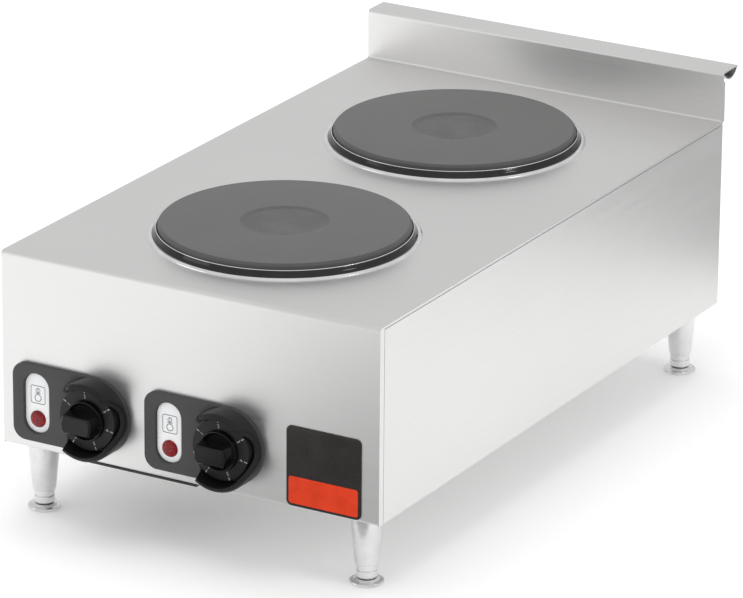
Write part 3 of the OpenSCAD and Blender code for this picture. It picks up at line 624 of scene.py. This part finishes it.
def icon_mesh(face):
    """A hob with a small and a large cooking zone, drawn in thin lines."""
    low, high = face, face + PRINT_T
    frame_line = rounded_box(ICON_W, ICON_H, 1.6 * MM, (0, ICON_Y), 4)
    small = circle(2.0 * MM, (0, ICON_Y + 3.9 * MM), 32)
    large = circle(3.1 * MM, (0, ICON_Y - 2.9 * MM), 40)
    line = [(-2.6 * MM, ICON_Y + 1.2 * MM), (2.6 * MM, ICON_Y + 1.2 * MM)]
    stem = [(0, ICON_Y + 6.2 * MM), (0, ICON_Y + 1.4 * MM)]
    return join_meshes([
        ribbon(frame_line, 0.55 * MM, low, high, True), ribbon(small, THIN_LINE, low, high, True),
        ribbon(large, 0.6 * MM, low, high, True), ribbon(line, THIN_LINE, low, high),
        ribbon(stem, THIN_LINE, low, high),
    ])


def build_lens(side, face):
    """A low red dome that stands on the label's face."""
    node = f"pilot_lens_{side}"
    lamp = middle(node)
    place = on_apron(lamp.x, lamp.z)
    radius = reach(node)
    top = APRON_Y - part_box(node)[0].y
    profile = [
        (0, top, 0), (radius * 0.55, top - 0.25 * MM, 1.5 * MM), (radius * 0.9, top - 1.1 * MM, 1.0 * MM),
        (radius, face + 0.5 * MM, 0.3 * MM), (radius, face, 0), (0, face, 0),
    ]
    mesh = lathe(profile, 64)
    finish_piece(f"lens_{side}", mesh, place, LENS_RED, "cabinet", [node], 60)


# Knobs

DIAL_R = 28 * MM
DIAL_FACE = 14 * MM
DIAL_BACK = 6 * MM
HUB_R = 17.7 * MM
HUB_FACE = 19 * MM
HUB_FLOOR = 16 * MM
GRIP_HALF = 8.5 * MM
GRIP_END_LOW = 17.4 * MM
GRIP_END_HIGH = 14.8 * MM
GRIP_SHRINK = 1.3 * MM
SHRINK_START = 0.93
SOCKET_R = 10 * MM
MARK_ANGLES = (148, 95, 32, -14, -70, -122)
OFF_ANGLE = 195
NUMERAL_R = 21 * MM
NUMERAL_H = 4.6 * MM
TICK_IN = 24.3 * MM
TICK_OUT = 27.2 * MM
OFF_IN = 19.8 * MM


def grip_section(height, top):
    """Outline of the grip bar at one height: flat cheeks, round ends that lean in and a soft top."""
    share = (height - HUB_FLOOR) / (top - HUB_FLOOR)
    end = GRIP_END_LOW + (GRIP_END_HIGH - GRIP_END_LOW) * share
    shrink = GRIP_SHRINK * max(0.0, share - SHRINK_START) / (1 - SHRINK_START)
    end -= shrink
    half = GRIP_HALF - shrink * 0.8 - 0.5 * MM * share
    corner = math.asin(half / end)
    outline = []
    for base in (0, math.pi):
        outline += [(end, base - corner + 2 * corner * i / 14) for i in range(15)]
    return [(r * math.cos(a), r * math.sin(a), height) for r, a in outline]


def build_knob(side):
    """A skirt with the dial, a hub with the grip bar, and the printed marks."""
    node = f"knob_{side}"
    place = knob_place(side)
    body = f"{side}_control"
    top = APRON_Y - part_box(node)[0].y
    hub_low = DIAL_FACE - 0.2 * MM
    hub = [
        (0, HUB_FLOOR, 0), (HUB_R - 2.6 * MM, HUB_FLOOR, 1.5 * MM),
        (HUB_R - 1.1 * MM, HUB_FACE, 0.5 * MM), (HUB_R, HUB_FACE, 0.5 * MM),
        (HUB_R + 0.4 * MM, hub_low, 0), (0, hub_low, 0),
    ]
    dial = [
        (0, DIAL_FACE, 0), (DIAL_R - 0.4 * MM, DIAL_FACE, 0.9 * MM),
        (DIAL_R, DIAL_BACK, 0.3 * MM), (DIAL_R - 3.5 * MM, DIAL_BACK, 0.3 * MM),
        (DIAL_R - 4 * MM, DIAL_FACE - 3.5 * MM, 0.5 * MM), (0, DIAL_FACE - 3.5 * MM, 0),
    ]
    heights = [HUB_FLOOR - 1 * MM]
    heights += [HUB_FLOOR + (top - HUB_FLOOR) * k / 12 for k in range(12)]
    heights += [top - 1.1 * MM, top - 0.7 * MM, top - 0.35 * MM, top - 0.12 * MM, top]
    grip = loft([grip_section(h, top) for h in sorted(heights)])
    socket = [
        (0, DIAL_BACK, 0), (SOCKET_R, DIAL_BACK, 0.3 * MM),
        (SOCKET_R, DIAL_FACE - 3 * MM, 0), (0, DIAL_FACE - 3 * MM, 0),
    ]
    mesh = join_meshes([lathe(hub, 128), grip])
    finish_piece(f"knob_{side}_grip", mesh, place, KNOB_BLACK, body, [node], 32)
    mesh = join_meshes([lathe(dial, 128), lathe(socket, 48)])
    finish_piece(f"knob_{side}_dial", mesh, place, DIAL_BLACK, body, [node], 32)
    finish_piece(f"knob_{side}_marks", marks_mesh(), place, MARK_WHITE, body)


def numeral(text, size, low, high):
    """A numeral as a thin raised mesh, centred on the origin."""
    curve = bpy.data.curves.new("numeral", "FONT")
    curve.body = text
    curve.size = size
    curve.align_x = "CENTER"
    curve.align_y = "CENTER"
    curve.extrude = (high - low) / 2
    holder = bpy.data.objects.new("numeral", curve)
    mesh = bpy.data.meshes.new_from_object(holder)
    mesh.transform(Matrix.Translation((0, 0, (low + high) / 2)))
    bpy.data.objects.remove(holder)
    bpy.data.curves.remove(curve)
    return mesh


def marks_mesh():
    """A tick and a number at each heat setting, and a bar at the off position."""
    low, high = DIAL_FACE - 0.02 * MM, DIAL_FACE + 0.06 * MM
    meshes = []
    for i, angle in enumerate(MARK_ANGLES):
        turn = math.radians(angle)
        ray = Vector((math.cos(turn), math.sin(turn)))
        meshes.append(ribbon([ray * TICK_IN, ray * TICK_OUT], 0.8 * MM, low, high))
        mesh = numeral(str(i + 1), NUMERAL_H, low, high)
        spot = Matrix.Translation((*(ray * NUMERAL_R), 0))
        mesh.transform(spot @ Matrix.Rotation(turn - math.pi / 2, 4, "Z"))
        meshes.append(mesh)
    off = math.radians(OFF_ANGLE)
    ray = Vector((math.cos(off), math.sin(off)))
    meshes.append(ribbon([ray * OFF_IN, ray * TICK_OUT], 1.4 * MM, low, high))
    return join_meshes(meshes)


for side in SIDES:
    build_bezel(side)
    build_label(side)
    build_knob(side)

# Badge: a plain dark plate with a coloured band


def build_badge_part(name, node, floor, corner, edge, material):
    """A rounded plate as wide and high as its CAD node. It returns the height of its face."""
    low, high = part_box(node)
    centre = middle(node)
    place = on_apron(centre.x, centre.z)
    face = APRON_Y - low.y
    outline = rounded_box(high.x - low.x, high.z - low.z, corner)
    mesh = plate_mesh([outline], floor, face, edge)
    finish_piece(name, mesh, place, material, "cabinet", [node])
    return face


badge_face = build_badge_part("badge", "badge_plate", 0, 5 * MM, 0.4 * MM, BADGE_BLACK)
band_floor = badge_face - 0.1 * MM
build_badge_part(
    "badge_band", "badge_inlay", band_floor, 2.5 * MM, 0.15 * MM, BADGE_ORANGE)

# Legs and feet

LEG_FOOT_R = 10.3 * MM
LEG_BORE_DEPTH = 24 * MM
LEG_THREAD_R = 5 * MM
STEM_CLEARANCE = 0.1 * MM
STEM_TIP_R = 4.9 * MM
PAD_BORE_R = 5.1 * MM
PAD_BORE_FLOOR = 1.7 * MM


def build_leg(foot):
    """A tapered tube with its threaded stud, which goes up through the pan."""
    node = f"leg_{foot}"
    low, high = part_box(node)
    centre = middle(node)
    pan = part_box("bottom_pan")[0].z
    top_r = reach(node)
    stem_r = reach(f"foot_stem_{foot}") + STEM_CLEARANCE
    profile = [
        (stem_r, low.z + LEG_BORE_DEPTH, 0), (stem_r, low.z + 0.2 * MM, 0.3 * MM),
        (LEG_FOOT_R, low.z, 0.7 * MM), (top_r, pan - 1.6 * MM, 0.5 * MM), (top_r, pan, 0.2 * MM),
        (LEG_THREAD_R, pan, 0.1 * MM), (LEG_THREAD_R, high.z, 0.6 * MM), (0, high.z, 0),
    ]
    place = Matrix.Translation((centre.x, centre.y, 0))
    mesh = lathe(profile, 72)
    finish_piece(f"leg_{foot}_tube", mesh, place, LEG_STEEL, "cabinet", [node], 40)


def build_foot(foot):
    """A turned stem with a groove, and the flanged pad that its tip turns in."""
    stem, pad = f"foot_stem_{foot}", f"foot_pad_{foot}"
    centre = middle(pad)
    place = Matrix.Translation((centre.x, centre.y, 0))
    low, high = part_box(stem)
    r = reach(stem)
    pad_low, pad_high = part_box(pad)
    pad_r = reach(pad)
    neck = pad_high.z
    profile = [
        (0, low.z, 0), (STEM_TIP_R, low.z, 0.1 * MM), (STEM_TIP_R, neck + 0.3 * MM, 0.1 * MM),
        (r - 0.8 * MM, neck + 0.3 * MM, 0.4 * MM), (r, neck + 1.6 * MM, 0.6 * MM),
        (r, neck + 6.6 * MM, 0.2 * MM), (r - 0.7 * MM, neck + 7.3 * MM, 0.3 * MM),
        (r, neck + 8.0 * MM, 0.2 * MM), (r, high.z - 1 * MM, 0.3 * MM), (0, high.z, 0),
    ]
    mesh = lathe(profile, 72)
    body = f"{foot}_foot_stem"
    finish_piece(f"stem_{foot}", mesh, place, LEG_STEEL, body, [stem], 40)
    profile = [
        (0, pad_low.z, 0), (pad_r - 0.6 * MM, pad_low.z, 0.5 * MM),
        (pad_r, pad_low.z + 1.2 * MM, 0.8 * MM), (pad_r - 0.5 * MM, neck - 2.2 * MM, 0.7 * MM),
        (r + 2.0 * MM, neck - 1.6 * MM, 1.0 * MM), (r + 0.4 * MM, neck - 0.2 * MM, 0.4 * MM),
        (PAD_BORE_R, neck, 0.1 * MM), (PAD_BORE_R, PAD_BORE_FLOOR, 0.1 * MM), (0, PAD_BORE_FLOOR, 0),
    ]
    mesh = lathe(profile, 72)
    body = f"{foot}_foot_pad"
    finish_piece(f"pad_{foot}", mesh, place, LEG_STEEL, body, [pad], 40)


for foot in FEET:
    build_leg(foot)
    build_foot(foot)

# CAD nodes that stay, with their finishes and softened edges

KEPT = {
    "deck_panel": STEEL_ACROSS, "rear_panel": STEEL_ACROSS, "bottom_pan": STEEL_ALONG,
    # The access cover's black finish is painted shade for the dark line under the apron.
    "side_panel_left": STEEL_ALONG, "side_panel_right": STEEL_ALONG, "control_access_cover": COVER_SHADE_BLACK,
    "heat_shield": ZINC, "leg_gussets": ZINC, "leg_nuts": ZINC, "clamp_nuts": ZINC, "switch_nuts": BRASS,
    "terminal_block": DARK_PLASTIC, "cable_gland": DARK_PLASTIC, "gland_nut": DARK_PLASTIC,
    "panel_screws": SCREW_STEEL, "plate_wiring_front": WIRE_RED, "plate_wiring_rear": WIRE_RED,
    "supply_wiring": WIRE_BLACK,
}
for row in ROWS:
    KEPT[f"heating_coils_{row}"] = CERAMIC
    KEPT[f"hotplate_cover_{row}"] = ZINC
    KEPT[f"clamp_bar_{row}"] = ZINC
    KEPT[f"hotplate_stud_{row}"] = ZINC
    KEPT[f"hotplate_terminals_{row}"] = CERAMIC
for side in SIDES:
    KEPT[f"switch_body_{side}"] = CERAMIC
    KEPT[f"switch_shaft_{side}"] = ZINC
    KEPT[f"pilot_body_{side}"] = DARK_PLASTIC
UNBEVELLED = ("plate_wiring_front", "plate_wiring_rear", "supply_wiring")
SOFT_EDGE = 0.25 * MM


def soften(node):
    """Rounds a node's sharp edges a little, so that they catch the light."""
    bevel = node.modifiers.new("soft_edges", "BEVEL")
    bevel.width = SOFT_EDGE
    bevel.segments = 2
    bevel.limit_method = "ANGLE"
    bevel.angle_limit = math.radians(40)
    bevel.use_clamp_overlap = True
    bevel.harden_normals = False


for name, material in KEPT.items():
    node = frame["nodes"][name]
    node.data.materials.clear()
    node.data.materials.append(material)
    if name not in UNBEVELLED:
        soften(node)

# Floor, light and camera

WHITE = (1, 1, 1, 1)
FLOOR_REACH = 30.0
FLOOR_GLOW = 0.17


def flat_card(name, low, high, level, surface):
    """A level rectangle for the studio, which is no part of the object."""
    mesh = bpy.data.meshes.new(name)
    corners = [(low[0], low[1]), (high[0], low[1]), (high[0], high[1]), (low[0], high[1])]
    mesh.from_pydata([(x, y, level) for x, y in corners], [], [(0, 1, 2, 3)])
    card = bpy.data.objects.new(name, mesh)
    bpy.context.scene.collection.objects.link(card)
    surface.shader.inputs["Emission Color"].default_value = WHITE
    mesh.materials.append(surface.material)
    return card


def build_floor():
    """White paper that lights itself a little, so that it stays pale in the shade."""
    s = Surface("floor_paper", roughness=0.9, specular_ior_level=0.1, emission_strength=FLOOR_GLOW)
    grey, pale = (0.93, 0.93, 0.93), (0.945, 0.945, 0.945)
    s.link("Base Color", s.mix(s.noise(s.place(), 3, 2), grey, pale))
    floor = flat_card("floor", (-FLOOR_REACH, -FLOOR_REACH), (FLOOR_REACH, FLOOR_REACH), 0, s)


def build_world():
    """A pale room, a little brighter overhead than at the horizon."""
    world = bpy.data.worlds.new("room")
    world.use_nodes = True
    nodes, links = world.node_tree.nodes, world.node_tree.links
    direction = nodes.new("ShaderNodeTexCoord").outputs["Generated"]
    parts = nodes.new("ShaderNodeSeparateXYZ")
    links.new(direction, parts.inputs[0])
    ramp = nodes.new("ShaderNodeMapRange")
    ramp.inputs["From Min"].default_value = 0.0
    ramp.inputs["From Max"].default_value = 0.9
    ramp.inputs["To Min"].default_value = 0.72
    ramp.inputs["To Max"].default_value = 0.76
    links.new(parts.outputs["Z"], ramp.inputs["Value"])
    links.new(ramp.outputs["Result"], nodes["Background"].inputs["Strength"])
    nodes["Background"].inputs["Color"].default_value = WHITE
    bpy.context.scene.world = world


def add_area(name, place, target, size, power, in_metal=True):
    """A soft box that looks at a target. It can be left out of reflections in the metal."""
    data = bpy.data.lights.new(name, "AREA")
    data.shape = "RECTANGLE"
    data.size, data.size_y = size
    data.energy = power
    lamp = bpy.data.objects.new(name, data)
    lamp.location = place
    lamp.rotation_euler = (Vector(target) - Vector(place)).to_track_quat("-Z", "Y").to_euler()
    lamp.visible_glossy = in_metal
    bpy.context.scene.collection.objects.link(lamp)


FLAG_LEVEL = 2 * MM


def add_flag(name, low, high, glow):
    """A grey card just above the floor, seen only in reflections, as studios use to shade metal."""
    s = Surface(name, roughness=1.0, specular_ior_level=0.0, emission_strength=glow)
    s.shader.inputs["Base Color"].default_value = (0, 0, 0, 1)
    card = flat_card(name, low, high, FLAG_LEVEL, s)
    card.visible_camera = False
    card.visible_diffuse = False
    card.visible_shadow = False


CAMERA_PLACE = Vector((2.3263, -4.05885, 1.8634))
CAMERA_AZIMUTH = math.radians(29.82)
CAMERA_ELEVATION = math.radians(20.31)
CAMERA_ROLL = math.radians(0.43)
CAMERA_LENS = 272.4
CAMERA_SENSOR = 36


def build_camera():
    """The photo's view. Roll turns the camera about its own line of sight."""
    data = bpy.data.cameras.new("camera")
    data.sensor_width = CAMERA_SENSOR
    data.lens = CAMERA_LENS
    data.clip_start = 0.1
    data.clip_end = 100
    camera = bpy.data.objects.new("camera", data)
    az, el = CAMERA_AZIMUTH, CAMERA_ELEVATION
    back = Vector((math.sin(az) * math.cos(el), -math.cos(az) * math.cos(el), math.sin(el)))
    right = Vector((0, 0, 1)).cross(back).normalized()
    up = back.cross(right)
    c, s = math.cos(CAMERA_ROLL), math.sin(CAMERA_ROLL)
    basis = Matrix((right * c + up * s, up * c - right * s, back)).transposed()
    camera.matrix_world = Matrix.Translation(CAMERA_PLACE) @ basis.to_4x4()
    bpy.context.scene.collection.objects.link(camera)
    bpy.context.scene.camera = camera


build_floor()
build_world()
add_area("overhead", (-0.4, 0.1, 3.0), (0, 0, 0), (2.6, 2.6), 34, in_metal=False)
add_area("right_glint", (2.5, -0.1, 1.7), (0, 0, 0.24), (0.5, 0.5), 5)
add_area("left_fill", (-1.3, -1.2, 0.5), (-0.1, -0.3, 0.15), (0.8, 0.8), 1.5)
add_flag("flag_front", (-0.10, -1.8), (1.2, -0.36), 0.43)
add_flag("flag_side", (0.24, 0.55), (1.6, 2.6), 0.49)
build_camera()
bpy.context.scene.view_settings.view_transform = "Standard"
